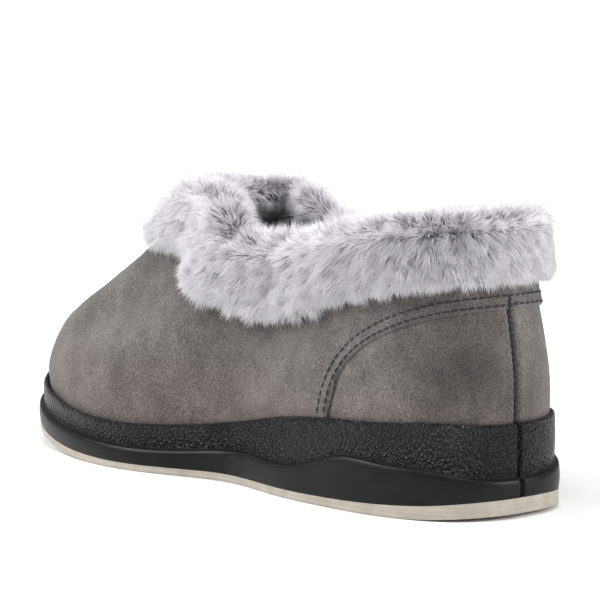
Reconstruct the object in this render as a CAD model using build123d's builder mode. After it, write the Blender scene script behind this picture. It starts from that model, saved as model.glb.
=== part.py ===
from build123d import *
import math
import os

# Fluffy house slipper, right foot. Millimetres: +X to the toe, +Y to the arch side, +Z up,
# ground at Z = 0.

LENGTH = 262.0
CUP_WALL = 4.0            # outline to upper, at the bottom of the sole's cup
BAND_STEP = 1.5           # how far the lower sole band stands proud of the upper one
LEATHER = 1.2             # outer panels
STIFFENER = 0.9
LINING = 2.0              # fleece lining, measured from the backing felt
BOARD = 2.0
FOAM = 4.5
COVER = 1.8
PILE_OUT = 7.0            # fur collar, outside the upper
PILE_IN = 5.0             # fur collar, inside the lining
PILE_TOP = 9.0            # fur collar, above the edge of the upper
SEAM_OVERLAP = 9.0        # counter panel tucked under the quarter
GROOVE_WIDTH = 3.0
GROOVE_DEPTH = 0.9
GROOVE_LENGTH = 44.0
GROOVE_PITCH = 12.0
GROOVE_COUNT = 12
GROOVE_MIDDLE = -22.0     # centre of the row of grooves
BELOW_FLOOR = 20.0        # depth cleared under the flat of the sole
THREAD_RADIUS = 0.35
THREAD_GAP = 0.05
STITCH_LENGTH = 2.4
STITCH_PITCH = 3.4
SEAM_STITCH_LENGTH = 3.6
SEAM_STITCH_PITCH = 2.6
SEAM_STITCHES = 14
SEAM_LOW = 37.0
SEAM_SLANT = 0.25
SEAM_GAP = 0.15
ROW_INSET = 1.8           # panel edge to the first row
ROW_SPACING = 3.7
SIDE = 90.0               # half width of every cutting prism
FAR = 150.0
TALL = 200.0
HEEL_CENTRE = -92.0       # centre of the round of the heel
HEEL_INSIDE = -60.0       # a point inside the heel
BACK_SEAM_X = -126.5      # stitch rows stop short of the back seam here
SEAM_START = 0.3

# Ground outline: distance along the sole, half width to the arch side and to the outer side.
OUTLINE = [
    (-129, 14, 14), (-122, 25, 26), (-110, 32.5, 32.5), (-92, 37.8, 35.2), (-70, 39.6, 35.6),
    (-48, 39.4, 35.5), (-28, 36.6, 36.2), (-8, 35.6, 38.6), (12, 41.8, 42.5), (34, 48.2, 46.6),
    (56, 48.8, 48.4), (78, 44.8, 47), (98, 37.4, 41.8), (114, 26.5, 32.5), (125, 13, 19.5),
]
TOE_TIP_Y = -3.0

# Side-view heights along X.
GROUND = [(-150, 2.5), (-131, 1.5), (-115, 0.35), (-100, -0.4), (-60, -1.5), (0, -1.5), (48, -0.4),
          (78, 1.4), (105, 5.4), (131, 12), (150, 18)]   # the part under the floor is cut flat
OUTSOLE_TOP = [(-150, 7.8), (-131, 7), (-115, 5.2), (-100, 4.2), (-60, 3), (0, 2.6), (48, 2.4),
               (78, 3.8), (105, 7.8), (131, 14.4), (150, 20.4)]
LEDGE = [(-150, 13), (-131, 13.8), (-118, 16.8), (-100, 18.2), (-76, 18.6), (-62, 14.4), (-48, 11.6),
         (-23, 12), (10, 9.4), (50, 9), (85, 11.4), (110, 15), (131, 19.6), (150, 24)]
CUP_TOP = [(-150, 32), (-131, 33), (-120, 33.8), (-100, 32.8), (-80, 31.8), (-62, 30.6), (-42, 28),
           (-20, 23.5), (13, 18.4), (45, 17.2), (80, 19.2), (105, 22.6), (131, 25.6), (150, 27)]
CUP_FLOOR = [(-150, 22.5), (-100, 21.5), (-60, 20), (-20, 15.5), (20, 11.5), (50, 10.5), (90, 12.6),
             (110, 16), (131, 21), (150, 26)]
FUR_TOP = [(-150, 108), (-128, 108), (-110, 107.5), (-75, 103.5), (-40, 97), (-8, 93.5), (10, 98),
           (25, 107), (38, 111), (60, 110), (105, 106), (150, 104)]
FUR_LOW = [(-150, 80), (-128, 80), (-112, 79), (-88, 72.8), (-70, 66.5), (-47, 61.5), (-25, 62),
           (0, 68), (20, 72), (60, 76), (105, 76), (150, 76)]
FUR_LOW_INSIDE = [(-150, 74), (-110, 74), (-60, 68), (-20, 64), (20, 68), (60, 68), (150, 66)]
COUNTER_EDGE = [(-64, -20), (-66, 10), (-68, 30), (-71, 43), (-77, 52.5), (-86, 59.5), (-97, 64.8),
                (-110, 69.4), (-120, 71.8), (-135, 73.5), (-160, 75)]
STIFFENER_EDGE = [(-56, 0), (-60, 26), (-70, 45), (-92, 56), (-120, 61), (-160, 63)]
PUFF_START = 84.0
LINING_JOIN = 4.0

# Upper, level by level: height, heel and toe position, and how the half width grows or shrinks at
# the heel corner, the quarter, the waist, the ball, the toe box, the toe corner and the toe tip.
STATIONS = [0.03, 0.25, 0.43, 0.62, 0.80, 0.92, 0.977]
LEVELS = [
    (2, -127.0, 127.0, [1, 1, 1, 1, 1, 1, 1]),
    (20, -127.2, 127.0, [1, 1, 1, 1, 1, 1, 1]),
    (30, -128.2, 126.0, [1.04, 1.02, 1.02, 1.02, 1.02, 1.03, 1.08]),
    (40, -128.8, 119.0, [1.03, 1.0, 1.01, 0.99, 0.985, 1.04, 1.25]),
    (50, -128.4, 105.0, [1.0, 0.965, 0.98, 0.93, 0.92, 1.08, 1.6]),
    (57, -127.5, 91.5, [0.96, 0.92, 0.95, 0.86, 0.87, 1.12, 1.8]),
    (66, -126.0, 76.5, [0.91, 0.87, 0.91, 0.79, 0.785, 1.04, 1.75]),
    (78, -123.2, 59.0, [0.86, 0.82, 0.88, 0.73, 0.70, 0.94, 1.55]),
    (90, -120.4, 43.0, [0.83, 0.80, 0.87, 0.69, 0.65, 0.87, 1.45]),
    (104, -118.0, 27.0, [0.82, 0.80, 0.87, 0.67, 0.63, 0.84, 1.4]),
    (122, -117.0, 10.0, [0.82, 0.80, 0.87, 0.67, 0.63, 0.84, 1.4]),
]


def between(xs, ys, x):
    """Straight-line reading of a small table."""
    if x <= xs[0]:
        return ys[0]
    for i in range(1, len(xs)):
        if x <= xs[i]:
            share = (x - xs[i - 1]) / (xs[i] - xs[i - 1])
            return ys[i - 1] + share * (ys[i] - ys[i - 1])
    return ys[-1]


def outline():
    heel = [(-LENGTH / 2, 0.0)]
    arch_side = [(x, arch) for x, arch, outer in OUTLINE]
    toe = [(LENGTH / 2, TOE_TIP_Y)]
    outer_side = [(x, -outer) for x, arch, outer in reversed(OUTLINE)]
    return heel + arch_side + toe + outer_side


def moved(points, distance, closed=True):
    """Points moved to the right of the direction of travel (inwards on the outline)."""
    result = []
    count = len(points)
    for i in range(count):
        before = points[i - 1] if closed or i > 0 else points[i]
        after = points[(i + 1) % count] if closed or i < count - 1 else points[i]
        dx = after[0] - before[0]
        dy = after[1] - before[1]
        size = math.hypot(dx, dy)
        result.append((points[i][0] + distance * dy / size, points[i][1] - distance * dx / size))
    return result


def squeezed(points, distance):
    """Points drawn in towards the middle of their outline by a distance at its ends and sides."""
    low_x = min(x for x, y in points)
    high_x = max(x for x, y in points)
    high_y = max(y for x, y in points)
    low_y = min(y for x, y in points)
    share_x = (high_x - low_x - 2 * distance) / (high_x - low_x)
    share_y = (high_y - low_y - 2 * distance) / (high_y - low_y)
    middle = (high_x + low_x) / 2
    return [(middle + (x - middle) * share_x, y * share_y) for x, y in points]


def raised(profile, amount):
    return [(x, z + amount) for x, z in profile]


def level_points(level, inset, pile=0.0):
    height, heel_x, toe_x, growth = level
    base = moved(outline(), CUP_WALL)
    first = base[0][0]
    span = base[len(OUTLINE) + 1][0] - first
    points = []
    for x, y in base:
        share = (x - first) / span
        points.append((heel_x + share * (toe_x - heel_x), y * between(STATIONS, growth, share)))
    return squeezed(moved(points, inset), pile)


def last(inset, pile=0.0):
    """The upper's outer shape taken inwards by an amount, tops of the levels lowered with it."""
    with BuildPart() as body:
        for level in LEVELS:
            with BuildSketch(Plane.XY.offset(level[0] - 0.5 * (inset + pile))):
                with BuildLine():
                    Spline(*level_points(level, inset, pile), periodic=True)
                make_face()
        loft()
    return body.part


def side_prism(low, high):
    """Everything between two side-view curves."""
    with BuildPart() as body:
        with BuildSketch(Plane.XZ):
            with BuildLine():
                lower = Spline(*low)
                upper = Spline(*high)
                Line(lower @ 0, upper @ 0)
                Line(lower @ 1, upper @ 1)
            make_face()
        extrude(amount=SIDE, both=True)
    return body.part


def below(high):
    with BuildPart() as body:
        with BuildSketch(Plane.XZ):
            with BuildLine():
                upper = Spline(*high)
                Polyline(upper @ 0, (high[0][0], -30), (high[-1][0], -30), upper @ 1)
            make_face()
        extrude(amount=SIDE, both=True)
    return body.part


def behind(edge):
    """Everything behind and under a side-view curve that starts at the sole and ends at the back."""
    with BuildPart() as body:
        with BuildSketch(Plane.XZ):
            with BuildLine():
                curve = Spline(*edge)
                Polyline(curve @ 0, (-165, edge[0][1]), (-165, edge[-1][1]), curve @ 1)
            make_face()
        extrude(amount=SIDE, both=True)
    return body.part


def sole_prism(inset):
    with BuildPart() as body:
        with BuildSketch(Plane.XY.offset(-10)):
            with BuildLine():
                Spline(*moved(outline(), inset), periodic=True)
            make_face()
        extrude(amount=60)
    return body.part


def outermost(body, start, direction):
    """Last point where a ray leaves the body, with the outward normal there."""
    axis = Axis(start, direction)
    hits = body.find_intersection_points(axis)
    point, normal = max(hits, key=lambda hit: (hit[0] - axis.position).dot(axis.direction))
    if normal.dot(axis.direction) < 0:
        normal = -normal
    return point, normal


def side_path(body, row, side, bottom):
    """A side-view stitch row laid on the body, from the sole to the middle of the back."""
    path = []
    for x, z in row:
        if z > bottom and x > BACK_SEAM_X:
            hits = body.find_intersection_points(Axis((x, 0, z), (0, side, 0)))
            hits = [hit[0] for hit in hits if hit[0].Y * side > 0]
            if hits:
                path.append(max(hits, key=lambda hit: hit.Y * side))
    back, _ = outermost(body, (HEEL_INSIDE, 0, path[-1].Z + SEAM_START), (-1, 0, 0))
    return path + [back]


def spaced(path, pitch):
    """Points one pitch apart along a polyline."""
    result = [path[0]]
    left = pitch
    for a, b in zip(path[:-1], path[1:]):
        run = (b - a).length
        done = 0.0
        while run - done > left:
            done += left
            result.append(a + (b - a) * (done / run))
            left = pitch
        left -= run - done
    return result


def stitch_places(body, row, bottom):
    """One location per stitch of a row that runs from sole to sole round the back."""
    arch_side = side_path(body, row, 1, bottom)
    outer_side = side_path(body, row, -1, bottom)
    path = arch_side + outer_side[-2::-1]
    marks = spaced(path, STITCH_PITCH)
    places = []
    for a, b in zip(marks[:-1], marks[1:]):
        middle = (a + b) * 0.5
        heading = (middle.X - HEEL_CENTRE, middle.Y, 0) if middle.X < HEEL_CENTRE else (0, middle.Y, 0)
        start = (HEEL_CENTRE, 0, middle.Z) if middle.X < HEEL_CENTRE else (middle.X, 0, middle.Z)
        point, normal = outermost(body, start, heading)
        rise = THREAD_RADIUS + THREAD_GAP
        places.append(Plane(origin=point + normal * rise, x_dir=normal, z_dir=b - a).location)
    return places


def finely(curve_points, step):
    """A side-view curve as closely spaced points."""
    curve = Spline(*curve_points)
    count = int(curve.length / step)
    return [((curve @ (i / count)).X, (curve @ (i / count)).Y) for i in range(count + 1)]


os.makedirs("parts", exist_ok=True)

FUR_OUTSIDE = last(-PILE_OUT)
UPPER_OUTSIDE = last(0)
UPPER_INSIDE = last(LEATHER)
JUST_OUTSIDE_LINING = last(2 * LEATHER - 0.2)
BACKING_INSIDE = last(2 * LEATHER)
STIFFENER_INSIDE = last(2 * LEATHER + STIFFENER)
LINING_INSIDE = last(2 * LEATHER + LINING)
FUR_INSIDE = last(2 * LEATHER + LINING, PILE_IN)

TOPLINE = raised(FUR_TOP, -PILE_TOP)
BOARD_TOP = raised(CUP_FLOOR, BOARD)
FOAM_TOP = raised(BOARD_TOP, FOAM)
COVER_TOP = raised(FOAM_TOP, COVER)
SKY = [(-150, 170), (0, 170), (150, 170)]

WALL = side_prism(CUP_FLOOR, TOPLINE)
ABOVE_BOARD = side_prism(BOARD_TOP, SKY)
COUNTER_FIELD = behind(COUNTER_EDGE)
COUNTER_UNDERLAP = behind(moved(COUNTER_EDGE, SEAM_OVERLAP, closed=False))
STIFFENER_FIELD = behind(STIFFENER_EDGE)
PUFF_FIELD = side_prism([(PUFF_START, -30), (FAR, -30)], [(PUFF_START, 120), (FAR, 120)])

with BuildPart() as outsole:
    add(sole_prism(0))
    add(side_prism(GROUND, OUTSOLE_TOP), mode=Mode.INTERSECT)
    with Locations((0, 0, -BELOW_FLOOR / 2)):
        Box(2 * FAR, 2 * SIDE, BELOW_FLOOR, mode=Mode.SUBTRACT)
    with GridLocations(GROOVE_PITCH, 1, GROOVE_COUNT, 1):
        with Locations((GROOVE_MIDDLE, 0, GROOVE_DEPTH / 2 - 1)):
            Box(GROOVE_WIDTH, GROOVE_LENGTH, GROOVE_DEPTH + 2, mode=Mode.SUBTRACT)
outsole.part.label = "outsole"
export_step(outsole.part, "parts/outsole.step")

with BuildPart() as midsole:
    add(sole_prism(0))
    add(side_prism(OUTSOLE_TOP, LEDGE), mode=Mode.INTERSECT)
    add(sole_prism(BAND_STEP).intersect(side_prism(OUTSOLE_TOP, CUP_TOP)))
    add(UPPER_OUTSIDE.intersect(side_prism(CUP_FLOOR, SKY)), mode=Mode.SUBTRACT)
midsole.part.label = "midsole"
export_step(midsole.part, "parts/midsole.step")

for name, low, high, skin in (
    ("insole_board", CUP_FLOOR, BOARD_TOP, BACKING_INSIDE),
    ("footbed_foam", BOARD_TOP, FOAM_TOP, LINING_INSIDE),
    ("footbed_cover", FOAM_TOP, COVER_TOP, LINING_INSIDE),
):
    with BuildPart() as layer:
        add(skin)
        add(side_prism(low, high), mode=Mode.INTERSECT)
    layer.part.label = name
    export_step(layer.part, f"parts/{name}.step")

with BuildPart() as vamp_quarter:
    add(UPPER_OUTSIDE)
    add(UPPER_INSIDE, mode=Mode.SUBTRACT)
    add(WALL, mode=Mode.INTERSECT)
    add(COUNTER_FIELD, mode=Mode.SUBTRACT)
vamp_quarter.part.label = "vamp_quarter"
export_step(vamp_quarter.part, "parts/vamp_quarter.step")

with BuildPart() as vamp_backing:
    add(UPPER_INSIDE)
    add(BACKING_INSIDE, mode=Mode.SUBTRACT)
    add(WALL, mode=Mode.INTERSECT)
    add(COUNTER_UNDERLAP, mode=Mode.SUBTRACT)
vamp_backing.part.label = "vamp_backing"
export_step(vamp_backing.part, "parts/vamp_backing.step")

for name, side in (("heel_counter_arch_side", 1), ("heel_counter_outer_side", -1)):
    with BuildPart() as counter:
        add(UPPER_INSIDE)
        add(BACKING_INSIDE, mode=Mode.SUBTRACT)
        add(WALL, mode=Mode.INTERSECT)
        add(COUNTER_UNDERLAP, mode=Mode.INTERSECT)
        with Locations((0, side * SIDE / 2, 50)):
            Box(2 * FAR, SIDE, TALL, mode=Mode.INTERSECT)
    counter.part.label = name
    export_step(counter.part, f"parts/{name}.step")

with BuildPart() as heel_stiffener:
    add(BACKING_INSIDE)
    add(STIFFENER_INSIDE, mode=Mode.SUBTRACT)
    add(ABOVE_BOARD, mode=Mode.INTERSECT)
    add(STIFFENER_FIELD, mode=Mode.INTERSECT)
heel_stiffener.part.label = "heel_stiffener"
export_step(heel_stiffener.part, "parts/heel_stiffener.step")

with BuildPart() as toe_puff:
    add(BACKING_INSIDE)
    add(STIFFENER_INSIDE, mode=Mode.SUBTRACT)
    add(ABOVE_BOARD, mode=Mode.INTERSECT)
    add(PUFF_FIELD, mode=Mode.INTERSECT)
toe_puff.part.label = "toe_puff"
export_step(toe_puff.part, "parts/toe_puff.step")

with BuildPart() as stiffener_pocket:
    add(JUST_OUTSIDE_LINING)
    add(STIFFENER_INSIDE, mode=Mode.SUBTRACT)

with BuildPart() as vamp_lining:
    add(BACKING_INSIDE)
    add(LINING_INSIDE, mode=Mode.SUBTRACT)
    add(WALL, mode=Mode.INTERSECT)
    add(ABOVE_BOARD, mode=Mode.INTERSECT)
    with Locations((LINING_JOIN + FAR / 2, 0, 50)):
        Box(FAR, 2 * SIDE, TALL, mode=Mode.INTERSECT)
    add(stiffener_pocket.part.intersect(PUFF_FIELD), mode=Mode.SUBTRACT)
vamp_lining.part.label = "vamp_lining"
export_step(vamp_lining.part, "parts/vamp_lining.step")

with BuildPart() as quarter_lining:
    add(BACKING_INSIDE)
    add(LINING_INSIDE, mode=Mode.SUBTRACT)
    add(WALL, mode=Mode.INTERSECT)
    add(ABOVE_BOARD, mode=Mode.INTERSECT)
    with Locations((LINING_JOIN - FAR / 2, 0, 50)):
        Box(FAR, 2 * SIDE, TALL, mode=Mode.INTERSECT)
    add(stiffener_pocket.part.intersect(STIFFENER_FIELD), mode=Mode.SUBTRACT)
quarter_lining.part.label = "quarter_lining"
export_step(quarter_lining.part, "parts/quarter_lining.step")

with BuildPart() as wall_slot:
    add(UPPER_OUTSIDE)
    add(LINING_INSIDE, mode=Mode.SUBTRACT)
    add(WALL, mode=Mode.INTERSECT)

with BuildPart() as outside_trim:
    with Locations((0, 0, TALL / 2 - BELOW_FLOOR)):
        Box(2 * FAR, 2 * SIDE, TALL)
    add(JUST_OUTSIDE_LINING, mode=Mode.SUBTRACT)
    add(below(FUR_LOW), mode=Mode.INTERSECT)

with BuildPart() as whole_collar:
    add(FUR_OUTSIDE)
    add(FUR_INSIDE, mode=Mode.SUBTRACT)
    add(below(FUR_TOP), mode=Mode.INTERSECT)
    add(wall_slot.part, mode=Mode.SUBTRACT)
    add(outside_trim.part, mode=Mode.SUBTRACT)
    add(JUST_OUTSIDE_LINING.intersect(below(FUR_LOW_INSIDE)), mode=Mode.SUBTRACT)

for name, side in (("fur_collar_arch_side", 1), ("fur_collar_outer_side", -1)):
    with BuildPart() as collar:
        add(whole_collar.part)
        with Locations((0, side * SIDE / 2, 50)):
            Box(2 * FAR, SIDE, TALL, mode=Mode.INTERSECT)
    collar.part.label = name
    export_step(collar.part, f"parts/{name}.step")

counter_edge_fine = finely(COUNTER_EDGE, 1.0)
for name, distance, bottom in (
    ("counter_stitching_inner", ROW_INSET, 36.0),
    ("counter_stitching_outer", ROW_INSET + ROW_SPACING, 35.0),
):
    with BuildPart() as stitching:
        row = moved(counter_edge_fine, distance, closed=False)
        with Locations(*stitch_places(UPPER_OUTSIDE, row, bottom)):
            Cylinder(THREAD_RADIUS, STITCH_LENGTH)
    stitching.part.label = name
    export_step(stitching.part, f"parts/{name}.step")

with BuildPart() as back_seam_stitching:
    places = []
    for k in range(SEAM_STITCHES):
        height = SEAM_LOW + k * SEAM_STITCH_PITCH
        point, normal = outermost(UPPER_INSIDE, (HEEL_INSIDE, 0, height), (-1, 0, 0))
        centre = point + normal * (THREAD_RADIUS + SEAM_GAP)
        places.append(Plane(origin=centre, x_dir=normal, z_dir=(0, 1, SEAM_SLANT)).location)
    with Locations(*places):
        Cylinder(THREAD_RADIUS, SEAM_STITCH_LENGTH)
back_seam_stitching.part.label = "back_seam_stitching"
export_step(back_seam_stitching.part, "parts/back_seam_stitching.step")
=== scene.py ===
import math

import bmesh
import bpy
import numpy as np
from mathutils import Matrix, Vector


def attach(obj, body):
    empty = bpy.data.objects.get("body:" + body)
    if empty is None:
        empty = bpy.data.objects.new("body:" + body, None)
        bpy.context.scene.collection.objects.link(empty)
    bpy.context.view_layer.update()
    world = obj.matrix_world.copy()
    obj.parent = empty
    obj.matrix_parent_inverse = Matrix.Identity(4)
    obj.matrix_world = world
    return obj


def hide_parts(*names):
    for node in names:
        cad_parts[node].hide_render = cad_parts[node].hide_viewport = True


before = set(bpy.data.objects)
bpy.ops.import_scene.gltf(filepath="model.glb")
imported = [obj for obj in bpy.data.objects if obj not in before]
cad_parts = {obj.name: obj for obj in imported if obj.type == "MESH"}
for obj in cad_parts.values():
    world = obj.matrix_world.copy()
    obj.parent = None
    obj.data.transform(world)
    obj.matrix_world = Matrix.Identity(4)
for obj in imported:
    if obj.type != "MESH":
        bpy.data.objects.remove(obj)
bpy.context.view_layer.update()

bl_info = {
    "name": "Fluffy house slipper",
    "version": (1, 0, 0),
    "blender": (4, 5, 0),
    "location": "3D View > Sidebar > Slipper",
    "description": "Models a closed comfort slipper with a faux-fur collar on its wedge sole",
    "category": "Add Mesh",
}

MM = 0.001

# Ground outline in mm: distance along the sole, half width to the arch side and to the outer side.
OUTLINE = [
    (-129, 14, 14), (-122, 25, 26), (-110, 32.5, 32.5), (-92, 37.8, 35.2), (-70, 39.6, 35.6),
    (-48, 39.4, 35.5), (-28, 36.6, 36.2), (-8, 35.6, 38.6), (12, 41.8, 42.5), (34, 48.2, 46.6),
    (56, 48.8, 48.4), (78, 44.8, 47), (98, 37.4, 41.8), (114, 26.5, 32.5), (125, 13, 19.5),
]
HALF_LENGTH = 131.0
TOE_TIP_Y = -3.0
CUP_WALL = 4.0

# Side-view heights in mm.
OUTSOLE_TOP = [(-150, 7.8), (-131, 7), (-115, 5.2), (-100, 4.2), (-60, 3), (0, 2.6), (48, 2.4),
               (78, 3.8), (105, 7.8), (131, 14.4), (150, 20.4)]
LEDGE = [(-150, 13), (-131, 13.8), (-118, 16.8), (-100, 18.2), (-76, 18.6), (-62, 14.4), (-48, 11.6),
         (-23, 12), (10, 9.4), (50, 9), (85, 11.4), (110, 15), (131, 19.6), (150, 24)]
CUP_TOP = [(-150, 32), (-131, 33), (-120, 33.8), (-100, 32.8), (-80, 31.8), (-62, 30.6), (-42, 28),
           (-20, 23.5), (13, 18.4), (45, 17.2), (80, 19.2), (105, 22.6), (131, 25.6), (150, 27)]
CUP_FLOOR = [(-150, 22.5), (-100, 21.5), (-60, 20), (-20, 15.5), (20, 11.5), (50, 10.5), (90, 12.6),
             (110, 16), (131, 21), (150, 26)]
# Collar: top and inner lower edge of the fur, then lower edge and tops of the pelt; last, the counter.
FUR_TOP = [(-150, 108), (-128, 108), (-110, 107.5), (-75, 103.5), (-40, 97), (-8, 93.5), (10, 98),
           (25, 107), (38, 111), (60, 110), (105, 106), (150, 104)]
FUR_LOW_INSIDE = [(-150, 74), (-110, 74), (-60, 68), (-20, 64), (20, 68), (60, 68), (150, 66)]
PELT_LOW = [(-150, 84.5), (-128, 84.5), (-108, 82.5), (-88, 78.5), (-71, 74.5), (-54, 68.5),
            (-40, 64), (-30, 62.8), (-20, 65), (-8, 67), (7, 70), (16, 77), (28, 82), (50, 83.5),
            (90, 83.5), (150, 83.5)]
PELT_TOP_ARCH = [(-150, 108), (-128, 108), (-110, 107.5), (-75, 102.5), (-45, 95.5), (-27, 93),
                 (-15, 95), (-4, 101.5), (8, 106.5), (22, 109), (38, 109), (60, 109), (150, 108)]
PELT_TOP_OUTER = [(-150, 108), (-128, 108), (-110, 107.5), (-75, 103.5), (-40, 97), (-10, 94.5),
                  (10, 98.5), (25, 103), (38, 105.5), (60, 106), (150, 106)]
COUNTER_EDGE = [(-64, -20), (-66, 10), (-68, 30), (-71, 43), (-77, 52.5), (-86, 59.5), (-97, 64.8),
                (-110, 69.4), (-120, 71.8), (-135, 73.5), (-160, 75)]

# Upper, level by level: height, heel and toe position, growth of the half width along the upper.
STATIONS = [0.03, 0.25, 0.43, 0.62, 0.80, 0.92, 0.977]
LEVELS = [
    (2, -127.0, 127.0, [1, 1, 1, 1, 1, 1, 1]),
    (20, -127.2, 127.0, [1, 1, 1, 1, 1, 1, 1]),
    (30, -128.2, 126.0, [1.04, 1.02, 1.02, 1.02, 1.02, 1.03, 1.08]),
    (40, -128.8, 119.0, [1.03, 1.0, 1.01, 0.99, 0.985, 1.04, 1.25]),
    (50, -128.4, 105.0, [1.0, 0.965, 0.98, 0.93, 0.92, 1.08, 1.6]),
    (57, -127.5, 91.5, [0.96, 0.92, 0.95, 0.86, 0.87, 1.12, 1.8]),
    (66, -126.0, 76.5, [0.91, 0.87, 0.91, 0.79, 0.785, 1.04, 1.75]),
    (78, -123.2, 59.0, [0.86, 0.82, 0.88, 0.73, 0.70, 0.94, 1.55]),
    (90, -120.4, 43.0, [0.83, 0.80, 0.87, 0.69, 0.65, 0.87, 1.45]),
    (104, -118.0, 27.0, [0.82, 0.80, 0.87, 0.67, 0.63, 0.84, 1.4]),
    (122, -117.0, 10.0, [0.82, 0.80, 0.87, 0.67, 0.63, 0.84, 1.4]),
]
DENSE = 40                # samples in each stretch of an outline
LEATHER = 1.2
ROW_INSET = 1.3
ROW_SPACING = 3.3
WALL = 4.4
COLLAR_EDGE_DROP = 9.0
QUARTER_COLUMNS = 560
STITCH_PITCH = 3.1
STITCH_LENGTH = 2.75
STITCH_RADIUS = 0.40
SEAM_LOW = 34.5           # back seam, from the midsole up to the stitch rows
SEAM_TOP = 77.5
SEAM_PITCH = 1.05
SEAM_RADIUS = 0.62
COUNTER_TOP = 72.6        # above this the back seam lies on the quarter
COLLAR_ROUND = 470.0      # way round the whole collar, for the fur's waves and clumps
COLLAR_ACROSS = 70.0      # way from the collar's outer edge over the fold to its inner edge
FOLD = 0.64               # share of that way at which the fur parts
FUR_CLUMP = 2.3
FUR_SECTIONS = 4
FLOOR_HALF = 1.25         # metres


# ---------------------------------------------------------------- curves

def closed_outline():
    arch = [(x, a) for x, a, o in OUTLINE]
    outer = [(x, -o) for x, a, o in reversed(OUTLINE)]
    return np.array([(-HALF_LENGTH, 0.0)] + arch + [(HALF_LENGTH, TOE_TIP_Y)] + outer)


def moved_in(points, distance):
    """A closed outline taken inwards; it runs clockwise seen from above."""
    run = np.roll(points, -1, 0) - np.roll(points, 1, 0)
    run /= np.linalg.norm(run, axis=1)[:, None]
    return points + distance * np.stack([run[:, 1], -run[:, 0]], 1)


def bends(knots, values, closed):
    """Second derivatives of the cubic spline through the values."""
    n = len(values)
    gap = np.diff(knots)
    left = np.zeros((n, n))
    right = np.zeros(values.shape)
    for i in range(n):
        if not closed and i in (0, n - 1):
            left[i, i] = 1.0
            continue
        before, after = gap[i - 1], gap[i]
        left[i, i - 1] += before
        left[i, i] += 2 * (before + after)
        left[i, (i + 1) % n] += after
        right[i] = 6 * ((values[(i + 1) % n] - values[i]) / after - (values[i] - values[i - 1]) / before)
    return np.linalg.solve(left, right.reshape(n, -1)).reshape(values.shape)


def closed_spline(points, dense=DENSE):
    """Points on the smooth closed curve, the same number in every stretch."""
    ahead = np.vstack([points, points[:1]])
    knots = np.concatenate([[0], np.cumsum(np.linalg.norm(np.diff(ahead, axis=0), axis=1))])
    m = bends(knots, points, True)
    m = np.vstack([m, m[:1]])
    rows = []
    for i in range(len(points)):
        b = (np.arange(dense) / dense)[:, None]
        a = 1 - b
        h = knots[i + 1] - knots[i]
        rows.append(a * ahead[i] + b * ahead[i + 1] + ((a**3 - a) * m[i] + (b**3 - b) * m[i + 1]) * h * h / 6)
    return np.vstack(rows)


class Height:
    """Side-view height as a smooth function of the distance along the sole."""

    def __init__(self, table, lift=0.0):
        self.x = np.array([p[0] for p in table], float)
        self.z = np.array([p[1] for p in table], float) + lift
        self.m = bends(self.x, self.z, False)

    def __call__(self, x):
        x = np.clip(x, self.x[0], self.x[-1])
        i = np.clip(np.searchsorted(self.x, x) - 1, 0, len(self.x) - 2)
        h = self.x[i + 1] - self.x[i]
        b = (x - self.x[i]) / h
        a = 1 - b
        bend = (a**3 - a) * self.m[i] + (b**3 - b) * self.m[i + 1]
        return a * self.z[i] + b * self.z[i + 1] + bend * h * h / 6


class Upper:
    """The upper's outer surface: u runs once round from the heel by the arch side, z is the height."""

    def __init__(self):
        base = moved_in(closed_outline(), CUP_WALL)
        first, span = base[0, 0], base[len(OUTLINE) + 1, 0] - base[0, 0]
        share = (base[:, 0] - first) / span
        self.z = np.array([level[0] for level in LEVELS], float)
        rings = []
        for _, heel, toe, growth in LEVELS:
            ring = np.stack([heel + share * (toe - heel), base[:, 1] * np.interp(share, STATIONS, growth)], 1)
            rings.append(closed_spline(ring))
        self.rings = np.array(rings)
        self.bend = bends(self.z, self.rings, False)
        self.count = self.rings.shape[1]

    def ring_values(self, k, z):
        i = np.clip(np.searchsorted(self.z, z) - 1, 0, len(self.z) - 2)
        h = (self.z[i + 1] - self.z[i])[..., None]
        b = ((z - self.z[i])[..., None]) / h
        a = 1 - b
        bend = (a**3 - a) * self.bend[i, k] + (b**3 - b) * self.bend[i + 1, k]
        return a * self.rings[i, k] + b * self.rings[i + 1, k] + bend * h * h / 6

    def point(self, u, z):
        u, z = np.broadcast_arrays(np.asarray(u, float) % 1.0, np.asarray(z, float))
        place = u * self.count
        k = np.floor(place).astype(int) % self.count
        part = (place - np.floor(place))[..., None]
        xy = self.ring_values(k, z) * (1 - part) + self.ring_values((k + 1) % self.count, z) * part
        return np.concatenate([xy, z[..., None]], -1)

    def normal(self, u, z):
        along = self.point(np.asarray(u) + 0.0015, z) - self.point(np.asarray(u) - 0.0015, z)
        up = self.point(u, np.asarray(z) + 0.5) - self.point(u, np.asarray(z) - 0.5)
        n = np.cross(up, along)
        return n / np.linalg.norm(n, axis=-1)[..., None]

    def at(self, u, z, inset=0.0):
        inset = np.asarray(inset, float)
        return self.point(u, z) - self.normal(u, z) * inset[..., None]


UPPER = Upper()


def edge_curve(distance=0.0):
    """The quarter's lower rear edge in side view, moved forwards and up by a distance."""
    table = np.array(COUNTER_EDGE, float)
    knots = np.concatenate([[0], np.cumsum(np.linalg.norm(np.diff(table, axis=0), axis=1))])
    m = bends(knots, table, False)
    s = np.linspace(0, knots[-1], 500)
    i = np.clip(np.searchsorted(knots, s) - 1, 0, len(knots) - 2)
    h = (knots[i + 1] - knots[i])[:, None]
    b = (s - knots[i])[:, None] / h
    a = 1 - b
    line = a * table[i] + b * table[i + 1] + ((a**3 - a) * m[i] + (b**3 - b) * m[i + 1]) * h * h / 6
    run = np.gradient(line, axis=0)
    run /= np.linalg.norm(run, axis=1)[:, None]
    return line + distance * np.stack([run[:, 1], -run[:, 0]], 1)


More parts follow.
